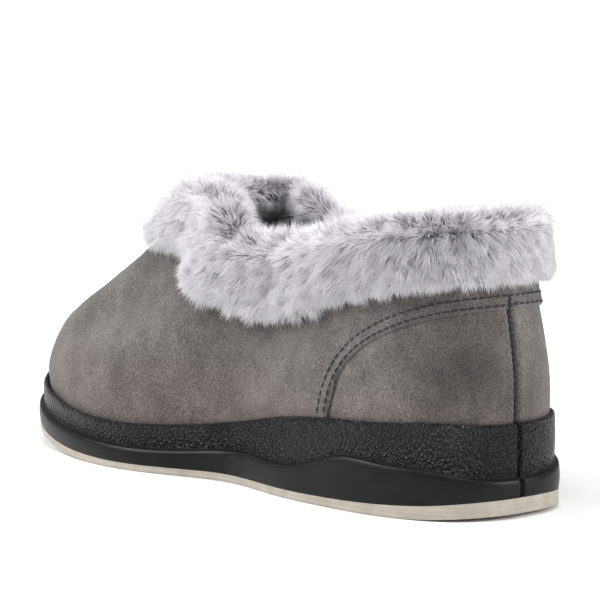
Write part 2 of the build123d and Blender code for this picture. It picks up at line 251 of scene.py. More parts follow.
def edge_height(u, curve, low):
    """Height at which each column of the upper crosses a side-view curve, or low if it is in front of it."""
    order = np.argsort(curve[:, 0])
    xs, zs = curve[order, 0], curve[order, 1]

    def over(z):
        return z - np.interp(UPPER.point(u, z)[:, 0], xs, zs)

    a, b = low.copy(), np.full(len(u), 88.0)
    missed = over(a) > 0
    for _ in range(40):
        middle = (a + b) / 2
        up = over(middle) > 0
        b = np.where(up, middle, b)
        a = np.where(up, a, middle)
    return np.where(missed, low, (a + b) / 2)


def columns(weight_at, total):
    """u of each column, closer together where the weight is high; the first is the middle of the heel."""
    fine = np.linspace(0, 1, 6001)
    ring = UPPER.point(fine, np.full(6001, 50.0))
    step = np.linalg.norm(np.diff(ring[:, :2], axis=0), axis=1) * weight_at(ring[:-1])
    run = np.concatenate([[0], np.cumsum(step)])
    return np.interp(np.linspace(0, run[-1], total, endpoint=False), run, fine)


def near_counter_front(ring):
    return 1 + 5 * ((ring[:, 0] < -62) & (ring[:, 0] > -80)) + 2 * (np.abs(ring[:, 1]) < 4) * (ring[:, 0] < 0)


# ---------------------------------------------------------------- meshes

def mesh_object(name, verts, faces, material, smooth=True, indices=None):
    """A closed piece in metres from points in mm."""
    mesh = bpy.data.meshes.new(name)
    points = [tuple(v) for v in np.asarray(verts) * MM]
    mesh.from_pydata(points, [], [tuple(int(i) for i in f) for f in faces])
    for m in material if isinstance(material, (list, tuple)) else [material]:
        mesh.materials.append(m)
    if indices is not None:
        mesh.polygons.foreach_set("material_index", np.array(indices, np.int32))
    mesh.polygons.foreach_set("use_smooth", np.full(len(mesh.polygons), smooth))
    bm = bmesh.new()
    bm.from_mesh(mesh)
    bmesh.ops.recalc_face_normals(bm, faces=bm.faces)
    bm.to_mesh(mesh)
    bm.free()
    mesh.validate()
    obj = bpy.data.objects.new(name, mesh)
    bpy.context.scene.collection.objects.link(obj)
    return obj


def finished(obj, slot, *nodes):
    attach(obj, "root")
    if nodes:
        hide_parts(*nodes)
    return obj


def tube_faces(rings, around, closed):
    """Faces of a band of rings; each ring is a row of the same length."""
    last = rings if closed else rings - 1
    faces = []
    for r in range(last):
        for k in range(around):
            a, b = r * around + k, r * around + (k + 1) % around
            c, d = ((r + 1) % rings) * around + (k + 1) % around, ((r + 1) % rings) * around + k
            faces.append((a, b, c, d))
    return faces


def open_panel(name, outer, inner, material):
    """A closed panel from an outer and an inner grid with free sides."""
    rows, cols, _ = outer.shape
    verts = np.vstack([outer.reshape(-1, 3), inner.reshape(-1, 3)])
    shift = rows * cols
    faces = []
    for r in range(rows - 1):
        for c in range(cols - 1):
            a, b, d, e = r * cols + c, r * cols + c + 1, (r + 1) * cols + c + 1, (r + 1) * cols + c
            faces += [(a, b, d, e), (shift + a, shift + e, shift + d, shift + b)]
    rim = list(range(cols)) + [r * cols + cols - 1 for r in range(1, rows)]
    rim += [(rows - 1) * cols + c for c in range(cols - 2, -1, -1)]
    rim += [r * cols for r in range(rows - 2, 0, -1)]
    for a, b in zip(rim, rim[1:] + rim[:1]):
        faces.append((b, a, shift + a, shift + b))
    return mesh_object(name, verts, faces, material)


def threads(name, centres, runs, outs, lengths, radius, material, arch=0.0):
    """Short rounded threads, each lying along its run on a surface that faces out."""
    around, profile = 6, [(-1.0, 0.25), (-0.86, 0.8), (-0.45, 1.0), (0.45, 1.0), (0.86, 0.8), (1.0, 0.25)]
    verts, faces = [], []
    for centre, run, out, length in zip(centres, runs, outs, lengths):
        run = run / np.linalg.norm(run)
        side = np.cross(out, run)
        side /= np.linalg.norm(side)
        lift = np.cross(run, side)
        start = len(verts)
        for t, share in profile:
            middle = centre + run * t * length / 2 - lift * (abs(t) ** 3) * arch
            for k in range(around):
                angle = 2 * math.pi * k / around
                verts.append(middle + radius * share * (side * math.cos(angle) + lift * math.sin(angle)))
        faces += [tuple(start + i for i in f) for f in tube_faces(len(profile), around, False)]
        faces.append(tuple(start + k for k in range(around)))
        end = start + around * (len(profile) - 1)
        faces.append(tuple(end + k for k in reversed(range(around))))
    return mesh_object(name, verts, faces, material)


# ---------------------------------------------------------------- materials

def new_material(name):
    material = bpy.data.materials.new(name)
    material.use_nodes = True
    tree = material.node_tree
    return material, tree, tree.nodes["Principled BSDF"]


def node(tree, kind, **values):
    made = tree.nodes.new(kind)
    for key, value in values.items():
        if key in made.inputs.keys():
            made.inputs[key].default_value = value
        else:
            setattr(made, key, value)
    return made


def object_noise(tree, scale, detail=3.0, rough=0.55, stretch=None):
    """Noise in Object coordinates; scale is in features per metre."""
    coords = tree.nodes.new("ShaderNodeTexCoord")
    noise = node(tree, "ShaderNodeTexNoise", Scale=scale, Detail=detail, Roughness=rough)
    source = coords.outputs["Object"]
    if stretch:
        mapping = tree.nodes.new("ShaderNodeMapping")
        mapping.inputs["Scale"].default_value = stretch
        tree.links.new(source, mapping.inputs["Vector"])
        source = mapping.outputs["Vector"]
    tree.links.new(source, noise.inputs["Vector"])
    return noise.outputs["Fac"]


def ramp(tree, source, stops):
    made = tree.nodes.new("ShaderNodeValToRGB")
    marks = made.color_ramp.elements
    while len(marks) < len(stops):
        marks.new(0.5)
    for mark, (position, colour) in zip(marks, stops):
        mark.position = position
        mark.color = (*colour, 1.0)
    tree.links.new(source, made.inputs["Fac"])
    return made.outputs["Color"]


def mixed(tree, kind, share, a, b):
    made = tree.nodes.new("ShaderNodeMix")
    made.data_type, made.blend_type = "RGBA", kind
    for socket, value in ((made.inputs["Factor"], share), (made.inputs["A"], a), (made.inputs["B"], b)):
        if hasattr(value, "links"):
            tree.links.new(value, socket)
        else:
            socket.default_value = value
    return made.outputs["Result"]


def bump(tree, shader, source, strength, distance):
    made = node(tree, "ShaderNodeBump", Strength=strength, Distance=distance)
    tree.links.new(source, made.inputs["Height"])
    tree.links.new(made.outputs["Normal"], shader.inputs["Normal"])


def graded(tree, source, start, stop, first, last):
    """A value that runs from first to last while the source runs from start to stop."""
    made = tree.nodes.new("ShaderNodeMapRange")
    for key, value in (("From Min", start), ("From Max", stop), ("To Min", first), ("To Max", last)):
        made.inputs[key].default_value = value
    tree.links.new(source, made.inputs["Value"])
    return made.outputs["Result"]


def distance_from(tree, place):
    """Distance in Object coordinates, in metres, from a place."""
    coords = tree.nodes.new("ShaderNodeTexCoord")
    made = tree.nodes.new("ShaderNodeVectorMath")
    made.operation = "DISTANCE"
    made.inputs[1].default_value = place
    tree.links.new(coords.outputs["Object"], made.inputs[0])
    return made.outputs["Value"]


def nubuck():
    material, tree, shader = new_material("faux_nubuck")
    patches = ramp(tree, object_noise(tree, 62.0, 6.0, 0.68), [
        (0.26, (0.072, 0.064, 0.060)), (0.50, (0.120, 0.108, 0.101)), (0.74, (0.172, 0.156, 0.147))])
    fine = ramp(tree, object_noise(tree, 1700.0, 2.0, 0.7), [
        (0.35, (0.42, 0.42, 0.42)), (0.64, (1.42, 1.41, 1.40))])
    colour = mixed(tree, "MULTIPLY", 1.0, patches, fine)
    coords = tree.nodes.new("ShaderNodeTexCoord")
    grain = node(tree, "ShaderNodeTexVoronoi", Scale=1150.0, feature="DISTANCE_TO_EDGE")
    tree.links.new(coords.outputs["Object"], grain.inputs["Vector"])
    lines = ramp(tree, grain.outputs["Distance"], [(0.0, (0.55, 0.54, 0.54)), (0.16, (1.02, 1.02, 1.02))])
    worn = ramp(tree, object_noise(tree, 90.0, 3.0, 0.6), [(0.42, (0, 0, 0)), (0.60, (1, 1, 1))])
    colour = mixed(tree, "MULTIPLY", worn, colour, lines)
    # Painted shade: thin dark lines where creases would shade the nubuck; the creases have no relief.
    crease_shade = ramp(tree, object_noise(tree, 70.0, 5.0, 0.62, (1.0, 1.0, 0.45)), [
        (0.47, (1, 1, 1)), (0.50, (0.72, 0.71, 0.71)), (0.53, (1, 1, 1))])
    colour = mixed(tree, "MULTIPLY", 0.55, colour, crease_shade)
    split = tree.nodes.new("ShaderNodeSeparateXYZ")
    tree.links.new(coords.outputs["Object"], split.inputs[0])
    low = graded(tree, split.outputs["Z"], 0.018, 0.052, 0.55, 0.0)
    colour = mixed(tree, "MIX", low, colour, mixed(tree, "MULTIPLY", 1.0, colour, (1.20, 0.98, 0.95, 1)))
    # Painted shade: a darker patch on the middle of the heel counter, where the light falls off round the
    # heel.
    counter_shade = graded(tree, distance_from(tree, (-0.119, 0.017, 0.052)), 0.006, 0.030, 1.0, 0.0)
    colour = mixed(tree, "MULTIPLY", counter_shade, colour, (0.58, 0.57, 0.56, 1))
    tree.links.new(colour, shader.inputs["Base Color"])
    shader.inputs["Roughness"].default_value = 0.72
    shader.inputs["Specular IOR Level"].default_value = 0.32
    shader.inputs["Sheen Weight"].default_value = 0.18
    shader.inputs["Sheen Roughness"].default_value = 0.45
    relief = mixed(tree, "MIX", 0.45, lines, object_noise(tree, 1400.0, 3.0, 0.65))
    bump(tree, shader, relief, 0.7, 0.0005)
    return material


def sole_black(name, grained):
    material, tree, shader = new_material(name)
    colour = ramp(tree, object_noise(tree, 120.0, 3.0), [
        (0.3, (0.004, 0.004, 0.0045)), (0.7, (0.008, 0.008, 0.009))])
    tree.links.new(colour, shader.inputs["Base Color"])
    shader.inputs["Specular IOR Level"].default_value = 0.21 if grained else 0.16
    if grained:
        shader.inputs["Roughness"].default_value = 0.30
        coords = tree.nodes.new("ShaderNodeTexCoord")
        cells = node(tree, "ShaderNodeTexVoronoi", Scale=900.0, Randomness=1.0, feature="F1")
        tree.links.new(coords.outputs["Object"], cells.inputs["Vector"])
        bump(tree, shader, cells.outputs["Distance"], 1.0, 0.0010)
    else:
        shader.inputs["Roughness"].default_value = 0.38
        bump(tree, shader, object_noise(tree, 900.0, 2.0), 0.12, 0.0003)
    return material


def cream_rubber():
    material, tree, shader = new_material("outsole_rubber")
    colour = ramp(tree, object_noise(tree, 160.0, 4.0), [
        (0.3, (0.33, 0.297, 0.245)), (0.7, (0.43, 0.392, 0.335))])
    tree.links.new(colour, shader.inputs["Base Color"])
    shader.inputs["Roughness"].default_value = 0.6
    coords = tree.nodes.new("ShaderNodeTexCoord")
    lines = node(tree, "ShaderNodeTexWave", Scale=210.0, Distortion=0.6,
                 wave_type="BANDS", bands_direction="Z")
    tree.links.new(coords.outputs["Object"], lines.inputs["Vector"])
    bump(tree, shader, lines.outputs["Fac"], 0.35, 0.0003)
    return material


def cloth(name, dark, light, scale, depth, sheen=0.3):
    material, tree, shader = new_material(name)
    colour = ramp(tree, object_noise(tree, scale, 4.0, 0.65), [(0.3, dark), (0.7, light)])
    tree.links.new(colour, shader.inputs["Base Color"])
    shader.inputs["Roughness"].default_value = 0.9
    shader.inputs["Sheen Weight"].default_value = sheen
    bump(tree, shader, object_noise(tree, scale * 1.7, 3.0, 0.7), 0.8, depth)
    return material


def pile(name, root, middle, tip):
    """Fur: the strand's own map holds its share of lightness across, with painted shade for the strands
    inside the opening, and root to tip upwards.
    """
    material, tree, shader = new_material(name)
    layer = node(tree, "ShaderNodeUVMap", uv_map="OFBake")
    split = tree.nodes.new("ShaderNodeSeparateXYZ")
    tree.links.new(layer.outputs["UV"], split.inputs[0])
    along = ramp(tree, split.outputs["Y"], [(0.0, root), (0.4, middle), (1.0, tip)])
    # Only the strands given painted shade inside the opening fall below 0.35 and reach the dark end.
    across = ramp(tree, split.outputs["X"], [
        (0.0, (0.46, 0.41, 0.46)), (0.35, (0.86, 0.85, 0.87)), (1.0, (1.08, 1.08, 1.08))])
    tree.links.new(mixed(tree, "MULTIPLY", 1.0, along, across), shader.inputs["Base Color"])
    shader.inputs["Roughness"].default_value = 0.62
    shader.inputs["Specular IOR Level"].default_value = 0.35
    shader.inputs["Sheen Weight"].default_value = 0.25
    return material


# ---------------------------------------------------------------- pieces

def build_midsole(materials):
    outline = closed_outline()
    count = len(outline) * DENSE
    rings = {}

    def ring(inset):
        if inset not in rings:
            rings[inset] = closed_spline(moved_in(outline, inset))
        return rings[inset]

    low, ledge, top, floor = Height(OUTSOLE_TOP), Height(LEDGE), Height(CUP_TOP), Height(CUP_FLOOR)
    # inset from the outline, what the height is measured from, and height or share of the way up
    rows = [
        (0.1, "low", 0.0), (0.0, "low", 0.7), (-0.25, "band", 0.3), (-0.3, "band", 0.55),
        (-0.15, "band", 0.8), (0.05, "ledge", -0.8), (0.45, "ledge", -0.2), (1.0, "ledge", 0.0),
        (1.55, "ledge", 0.15), (1.75, "ledge", 0.8), (1.55, "wall", 0.2), (1.4, "wall", 0.5),
        (1.45, "wall", 0.8), (1.6, "top", -0.9), (1.95, "top", -0.25), (2.4, "top", 0.0),
        (2.9, "top", -0.15), (3.4, "top", -0.7), (3.9, "top", -2.0), (4.0, "floor", 0.0),
    ]
    verts = []
    base = ring(0.0)
    mould = (1.7 + 0.3 * np.sin(base[:, 1] * 9.0)) * np.exp(-(base[:, 1] / 0.9) ** 4) * (base[:, 0] < 0)
    for inset, kind, amount in rows:
        xy = ring(inset)
        x = base[:, 0]
        z = {
            "low": low(x) + amount,
            "band": low(x) + amount * (ledge(x) - low(x)),
            "ledge": ledge(x) + amount,
            "wall": ledge(x) + amount * (top(x) - ledge(x)),
            "top": top(x) + amount,
            "floor": floor(x),
        }[kind]
        if kind != "floor":
            xy = xy + np.stack([mould, mould * 0], 1)
        verts.append(np.column_stack([xy, z]))
    faces = tube_faces(len(rows), count, False)
    indices = [1 if r < 8 else 0 for r in range(len(rows) - 1) for _ in range(count)]
    for start, step in ((0, 1), (count * (len(rows) - 1), -1)):
        for k in range(count // 2):
            quad = [start + k, start + k + 1, start + (count - k - 1) % count, start + (count - k) % count]
            quad = list(dict.fromkeys(quad))
            faces.append(tuple(quad[::step]))
            indices.append(1)
    obj = mesh_object("midsole_unit", np.vstack(verts), faces, materials, indices=indices)
    return finished(obj, "midsole_black", "midsole")


def build_quarter(material):
    u = columns(near_counter_front, QUARTER_COLUMNS)
    ground = UPPER.point(u, np.full(len(u), 30.0))[:, 0]
    low = Height(CUP_TOP)(ground) - 5.0
    edge = edge_curve()
    start = edge_height(u, edge, low)
    top_x = UPPER.point(u, np.full(len(u), 92.0))[:, 0]
    stop = Height(FUR_TOP, -COLLAR_EDGE_DROP - 5.0)(top_x)
    steps = np.concatenate([[0, 0.004, 0.010, 0.018, 0.03], np.linspace(0.05, 1, 60)])
    z = start + steps[:, None] * (stop - start)
    uu = np.broadcast_to(u, z.shape)
    places = UPPER.point(uu, z)
    gap = np.full(z.shape, 99.0)
    for x, height in edge[::2]:
        gap = np.minimum(gap, np.hypot(places[..., 0] - x, places[..., 2] - height))
    gap = np.clip(gap, 0, 1.3) / 1.3
    roll = 1.15 * (1 - np.sqrt(1 - (1 - gap) ** 2))
    x, y, height = np.moveaxis(places, -1, 0)
    ripple = 0.16 * np.sin(x * 0.31 + height * 0.22) * np.sin(y * 0.27 + height * 0.35)
    outer = UPPER.at(uu, z, roll + ripple)
    inner = UPPER.at(uu, z, np.full(z.shape, LEATHER + 0.25))
    rows = np.concatenate([outer, inner[::-1]])
    faces = tube_faces(len(rows), len(u), True)
    obj = mesh_object("vamp_and_quarter", rows.reshape(-1, 3), faces, material)
    return finished(obj, "faux_nubuck", "vamp_quarter")


def build_counters(material):
    for name, node_name, side in (
        ("counter_arch", "heel_counter_arch_side", 1),
        ("counter_outer", "heel_counter_outer_side", -1),
    ):
        reach = np.concatenate([[0, 0.0006, 0.0012, 0.0018, 0.0026, 0.0036], np.linspace(0.005, 0.24, 110)])
        u = reach if side == 1 else 1 - reach
        x = UPPER.point(u, np.full(len(u), 30.0))[:, 0]
        low = Height(CUP_TOP)(x) - 5.0
        stop = edge_height(u, edge_curve(4.0), low)
        keep = stop > low + 6
        u, low, stop = u[keep], low[keep], stop[keep]
        z = low + np.linspace(0, 1, 60)[:, None] * (stop - low)
        uu = np.broadcast_to(u, z.shape)
        away = np.abs(UPPER.point(uu, z)[..., 1])
        pucker = 0.25 * np.sin(z * 2 * math.pi / 2.7) * np.exp(-((away - 1.6) / 1.3) ** 2)
        sunk = 1.05 * np.exp(-(away / 1.0) ** 2)
        crown = 0.45 * np.exp(-((away - 2.6) / 1.5) ** 2)
        inset = LEATHER + sunk - crown + pucker
        outer = UPPER.at(uu, z, inset)
        inner = UPPER.at(uu, z, np.full(z.shape, 2 * LEATHER + 0.2))
        obj = open_panel(name, outer, inner, material)
        finished(obj, "faux_nubuck", node_name)


def row_marks(distance, pitch):
    """Middles, runs and outward normals of the stitches of one row round the heel."""
    paths = []
    for side in (1, -1):
        half = np.linspace(0, 0.27, 700) if side == 1 else 1 - np.linspace(0, 0.27, 700)
        marks = []
        for x, z in edge_curve(distance):
            xs = UPPER.point(half, np.full(len(half), z))[:, 0]
            if z > Height(CUP_TOP)(x) + 1.0 and x > xs[0]:
                marks.append((np.interp(x, np.maximum.accumulate(xs), half), z))
        marks.append((float(side == -1), marks[-1][1] + 0.1))
        paths.append(np.array(marks))
    arch, outer = paths
    u = np.concatenate([outer[:, 0] - 1, arch[::-1, 0][1:]])
    z = np.concatenate([outer[:, 1], arch[::-1, 1][1:]])
    line = UPPER.point(u, z)
    run = np.concatenate([[0], np.cumsum(np.linalg.norm(np.diff(line, axis=0), axis=1))])
    marks = np.arange(pitch / 2, run[-1], pitch)
    uu, zz = np.interp(marks, run, u), np.interp(marks, run, z)
    ahead = UPPER.point(np.interp(marks + 0.6, run, u), np.interp(marks + 0.6, run, z))
    behind = UPPER.point(np.interp(marks - 0.6, run, u), np.interp(marks - 0.6, run, z))
    return UPPER.point(uu, zz), ahead - behind, UPPER.normal(uu, zz)


def build_stitching(material):
    for name, node_name, distance in (
        ("counter_stitches_inner", "counter_stitching_inner", ROW_INSET),
        ("counter_stitches_outer", "counter_stitching_outer", ROW_INSET + ROW_SPACING),
    ):
        middles, runs, outs = row_marks(distance, STITCH_PITCH)
        centres = middles + outs * 0.12
        lengths = [STITCH_LENGTH] * len(centres)
        obj = threads(name, centres, runs, outs, lengths, STITCH_RADIUS, material, arch=0.35)
        finished(obj, "thread", node_name)
    z = np.arange(SEAM_LOW, SEAM_TOP, SEAM_PITCH)
    inset = np.where(z < COUNTER_TOP, LEATHER, 0.0)
    flat = np.zeros(len(z))
    outs = UPPER.normal(flat, z)
    slant = np.where(np.arange(len(z)) % 2 == 0, 0.5, -0.3)
    across = np.stack([flat, flat + 1, slant], 1)
    along = UPPER.point(flat, z + 0.6) - UPPER.point(flat, z - 0.6)
    centres = np.concatenate([UPPER.at(flat, z, inset + 0.05), UPPER.at(flat, z, inset + 0.6)])
    lengths = [2.3] * len(z) + [1.9] * len(z)
    runs, outs = np.concatenate([across, along]), np.concatenate([outs, outs])
    obj = threads("back_seam_stitches", centres, runs, outs, lengths, SEAM_RADIUS, material, arch=0.3)
    finished(obj, "thread", "back_seam_stitching")


class Collar:
    """The turned-down collar: t runs from its outer lower edge over the fold to its inner lower edge."""

    def __init__(self):
        self.low, self.low_in = Height(PELT_LOW), Height(FUR_LOW_INSIDE, -18.0)
        self.top_arch, self.top_outer = Height(PELT_TOP_ARCH), Height(PELT_TOP_OUTER)
        # marks along t, and how far out from the upper the pelt stands at each
        self.t = np.array([0, 0.05, 0.14, 0.30, 0.48, 0.58, 0.66, 0.74, 0.82, 0.92, 1.0])
        self.off = np.array([1.2, 2.6, 3.6, 4.2, 4.0, 2.6, -1.2, -5.0, -7.4, -8.0, -7.0])

    def heights(self, u):
        x = UPPER.point(u, np.full(np.shape(u), 90.0))
        lx = UPPER.point(u, np.full(np.shape(u), 70.0))
        share = np.clip((x[..., 1] + 9) / 18, 0, 1)
        share = share * share * (3 - 2 * share)
        top = share * self.top_arch(x[..., 0]) + (1 - share) * self.top_outer(x[..., 0])
        notch = 7.5 * np.exp(-(lx[..., 1] / 5.0) ** 2) * (lx[..., 0] > 0)
        low = self.low(lx[..., 0]) + notch
        inside = self.low_in(x[..., 0])
        body = top - 5.0
        rise = [low + 1.2, low + 0.9, low + 3.0, low + 0.36 * (body - low), low + 0.75 * (body - low),
                body - 3.4, body, body - 1.6, body - 6.5, inside + 6.0, inside]
        return np.stack(rise, 0)

    def at(self, u, t):
        u, t = np.broadcast_arrays(np.asarray(u, float), np.asarray(t, float))
        rise = self.heights(u)
        i = np.clip(np.searchsorted(self.t, t) - 1, 0, len(self.t) - 2)
        h = self.t[i + 1] - self.t[i]
        b = np.clip((t - self.t[i]) / h, 0, 1)
        before, after = np.clip(i - 1, 0, None), np.clip(i + 2, None, len(self.t) - 1)

        def smooth(values):
            p0, p1, p2, p3 = values(before), values(i), values(i + 1), values(after)
            m1 = (p2 - p0) / np.maximum(self.t[i + 1] - self.t[before], 1e-6) * h
            m2 = (p3 - p1) / np.maximum(self.t[after] - self.t[i], 1e-6) * h
            return ((2 * b**3 - 3 * b**2 + 1) * p1 + (b**3 - 2 * b**2 + b) * m1
                    + (-2 * b**3 + 3 * b**2) * p2 + (b**3 - b**2) * m2)

        z = smooth(lambda k: np.take_along_axis(rise, k[None], 0)[0])
        heel = np.exp(-((UPPER.point(u, z)[..., 0] + 125) / 34) ** 2)
        off = smooth(lambda k: self.off[k])
        off = np.where(off > 0, off * (1 - 0.35 * heel), off)
        front = np.clip((UPPER.point(u, np.full(u.shape, 80.0))[..., 0] + 22) / 45, 0, 1)
        off = off + 1.2 * front * front * (3 - 2 * front) * np.clip(t / 0.55, 0, 1) ** 1.5
        return UPPER.at(u, z, -off)

    def frame(self, u, t):
        """Place, outward normal, and the direction in which t grows."""
        place = self.at(u, t)
        along = self.at(u + 0.001, t) - self.at(u - 0.001, t)
        over = self.at(u, np.clip(t + 0.01, 0, 1)) - self.at(u, np.clip(t - 0.01, 0, 1))
        along /= np.linalg.norm(along, axis=-1)[..., None]
        over /= np.linalg.norm(over, axis=-1)[..., None]
        out = np.cross(over, along)
        return place, out / np.linalg.norm(out, axis=-1)[..., None], over, along


def build_collar_backing(collar, material):
    made = []
    for name, side in (("collar_pelt_arch", 1), ("collar_pelt_outer", -1)):
        reach = np.linspace(0.0, 0.5, 130)
        reach[0], reach[-1] = 0.0004, 0.4996
        u = reach if side == 1 else 1 - reach
        t = np.linspace(0, 1, 36)[:, None]
        outer = collar.at(np.broadcast_to(u, (36, len(u))), np.broadcast_to(t, (36, len(u))))
        rise = collar.heights(u)
        topline = rise[6] - 3.0
        inner_face, outer_face = np.full(len(u), WALL + 0.4), np.full(len(u), -0.35)
        back = [
            UPPER.at(u, rise[10] + 0.8, inner_face), UPPER.at(u, topline, inner_face),
            UPPER.at(u, topline, outer_face), UPPER.at(u, rise[0] + 0.8, outer_face),
        ]
        loop = np.concatenate([outer, np.array(back)])
        rows, cols = loop.shape[:2]
        faces = []
        for r in range(rows):
            for c in range(cols - 1):
                n = (r + 1) % rows
                faces.append((r * cols + c, r * cols + c + 1, n * cols + c + 1, n * cols + c))
        faces.append(tuple(r * cols for r in range(rows)))
        faces.append(tuple(r * cols + cols - 1 for r in reversed(range(rows))))
        obj = mesh_object(name, loop.reshape(-1, 3), faces, material)
        made.append(obj)
    finished(made[0], "faux_fur", "fur_collar_arch_side")
    finished(made[1], "faux_fur", "fur_collar_outer_side")


def strand_mesh(name, root, middle, tip, width, shade, material):
    """Many thin tapering closed strands as one mesh."""
    n = len(root)
    run = middle - root
    run /= np.linalg.norm(run, axis=1)[:, None]
    spare = np.where(np.abs(run[:, 2:3]) < 0.8, [[0.0, 0.0, 1.0]], [[1.0, 0.0, 0.0]])
    a = np.cross(run, spare)
    a /= np.linalg.norm(a, axis=1)[:, None]
    b = np.cross(run, a)
    verts = np.empty((n, 7, 3))
    for k in range(3):
        angle = 2 * math.pi * k / 3
        ray = a * math.cos(angle) + b * math.sin(angle)
        verts[:, k] = root + ray * width[:, None]
        verts[:, 3 + k] = middle + ray * (width * 0.8)[:, None]
    verts[:, 6] = tip
    quads = [(0, 1, 4, 3), (1, 2, 5, 4), (2, 0, 3, 5)]
    tris = [(3, 4, 6), (4, 5, 6), (5, 3, 6), (2, 1, 0)]
    order = np.array([i for f in quads + tris for i in f])
    loops = (np.arange(n)[:, None] * 7 + order[None]).ravel()
    starts = (np.arange(n)[:, None] * 24 + np.array([0, 4, 8, 12, 15, 18, 21])[None]).ravel()
    mesh = bpy.data.meshes.new(name)
    mesh.vertices.add(n * 7)
    mesh.vertices.foreach_set("co", (verts * MM).ravel())
    mesh.loops.add(len(loops))
    mesh.loops.foreach_set("vertex_index", loops.astype(np.int32))
    mesh.polygons.add(n * 7)
    mesh.polygons.foreach_set("loop_start", starts.astype(np.int32))
    mesh.polygons.foreach_set("use_smooth", np.ones(n * 7, bool))
    layer = mesh.uv_layers.new(name="OFBake")
    height = np.array([0.02, 0.02, 0.02, 0.5, 0.5, 0.5, 0.98])[order]
    uv = np.empty((n, 24, 2))
    uv[..., 0] = np.clip(shade, 0.02, 0.98)[:, None]
    uv[..., 1] = height[None]
    layer.data.foreach_set("uv", uv.ravel())
    mesh.materials.append(material)
    mesh.update(calc_edges=True)
    mesh.validate()
    obj = bpy.data.objects.new(name, mesh)
    bpy.context.scene.collection.objects.link(obj)
    return obj


def waves(u, t, seed, scale):
    """A smooth field with no pattern, from a few crossing waves."""
    rng = np.random.default_rng(seed)
    total = np.zeros(len(u))
    for _ in range(9):
        angle, phase, size = rng.uniform(0, 6.283), rng.uniform(0, 6.283), rng.uniform(0.6, 1.7) * scale
        total += np.sin((u * math.cos(angle) + t * math.sin(angle)) * size + phase)
    return total / 3.0


def build_fur(collar, settings, material):
    rng = np.random.default_rng(11)
    for half, side in (("arch", 1), ("outer", -1)):
        total = settings.strands_per_half
        reach = rng.uniform(0.0, 0.5, total)
        t = rng.uniform(0.0, 1.0, total)
        u = reach if side == 1 else 1 - reach
        place, out, over, along = collar.frame(u, t)
        arc, up = reach * COLLAR_ROUND, t * COLLAR_ACROSS
        comb = np.tanh((t - FOLD) * 7.0)
        lean = 0.75 + 0.25 * waves(arc, up, 3, 0.35)
        swirl = 0.45 * waves(arc, up, 4, 0.4) + 0.22 * waves(arc, up, 5, 1.3)
        jitter = rng.normal(0, 0.17, (total, 3))
        heading = out * (0.95 + 0.2 * waves(arc, up, 6, 0.8))[:, None] + over * (comb * lean)[:, None]
        heading += along * (swirl * 0.55)[:, None] + jitter
        heading /= np.linalg.norm(heading, axis=1)[:, None]
        droop = over * (comb * 0.75)[:, None] + along * (swirl * 0.35)[:, None] + jitter * 0.6
        length = settings.pile_length / MM * (0.86 + 0.14 * waves(arc, up, 7, 0.6))
        length *= rng.uniform(0.78, 1.12, total)
        length *= np.where(t > 0.8, 0.72, 1.0)
        root = place - out * 0.3
        middle = root + heading * (length * 0.5)[:, None]
        bent = heading + droop * 0.8
        bent /= np.linalg.norm(bent, axis=1)[:, None]
        tip = middle + bent * (length * 0.5)[:, None]
        key_a = np.floor(arc / FUR_CLUMP + 0.35 * np.sin(up))
        key_b = np.floor(up / FUR_CLUMP + 0.35 * np.sin(arc))
        key = (key_a * 1000 + key_b).astype(np.int64)
        _, group = np.unique(key, return_inverse=True)
        counts = np.bincount(group).astype(float)
        centre = np.stack([np.bincount(group, tip[:, i]) / counts for i in range(3)], 1)
        pull = rng.uniform(0.05, 0.34, len(counts))[group][:, None]
        tip = tip * (1 - pull) + centre[group] * pull
        shade = np.clip(0.68 + 0.12 * waves(arc, up, 8, 0.5) + rng.normal(0, 0.1, total), 0.3, 1.0)
        # Painted shade: strands on the collar's inner face, down inside the opening, are darkened.
        shade -= 0.42 * np.clip((t - 0.86) / 0.14, 0, 1)
        width = rng.uniform(0.095, 0.155, total)
        for k in range(FUR_SECTIONS):
            part = (reach >= 0.5 * k / FUR_SECTIONS) & (reach < 0.5 * (k + 1) / FUR_SECTIONS)
            strands = [values[part] for values in (root, middle, tip, width, shade)]
            obj = strand_mesh(f"fur_{half}_{k + 1}", *strands, material)
            finished(obj, "faux_fur")


# ---------------------------------------------------------------- settings and operators

class SlipperSettings(bpy.types.PropertyGroup):
    strands_per_half: bpy.props.IntProperty(
        name="Strands per half", description="Fur strands on each half of the collar",
        default=76000, min=1000, max=76000)
    pile_length: bpy.props.FloatProperty(
        name="Pile length", description="Length of the collar's fur", default=0.0088, unit="LENGTH")
    camera_azimuth: bpy.props.FloatProperty(
        name="Camera azimuth", description="Camera direction round the slipper",
        default=math.radians(230.0), subtype="ANGLE")
    camera_height: bpy.props.FloatProperty(
        name="Camera elevation", description="Camera angle above the horizon",
        default=math.radians(7.7), subtype="ANGLE")
    camera_distance: bpy.props.FloatProperty(
        name="Camera distance", description="From the slipper to the camera", default=1.5, unit="LENGTH")


class SLIPPER_OT_sole(bpy.types.Operator):
    """Black moulded wedge midsole and the cream outsole"""
    bl_idname = "slipper.sole"
    bl_label = "Sole"

    def execute(self, context):
        build_midsole([sole_black("midsole_grained", True), sole_black("midsole_smooth", False)])
        dress("outsole", cream_rubber())
        return {"FINISHED"}


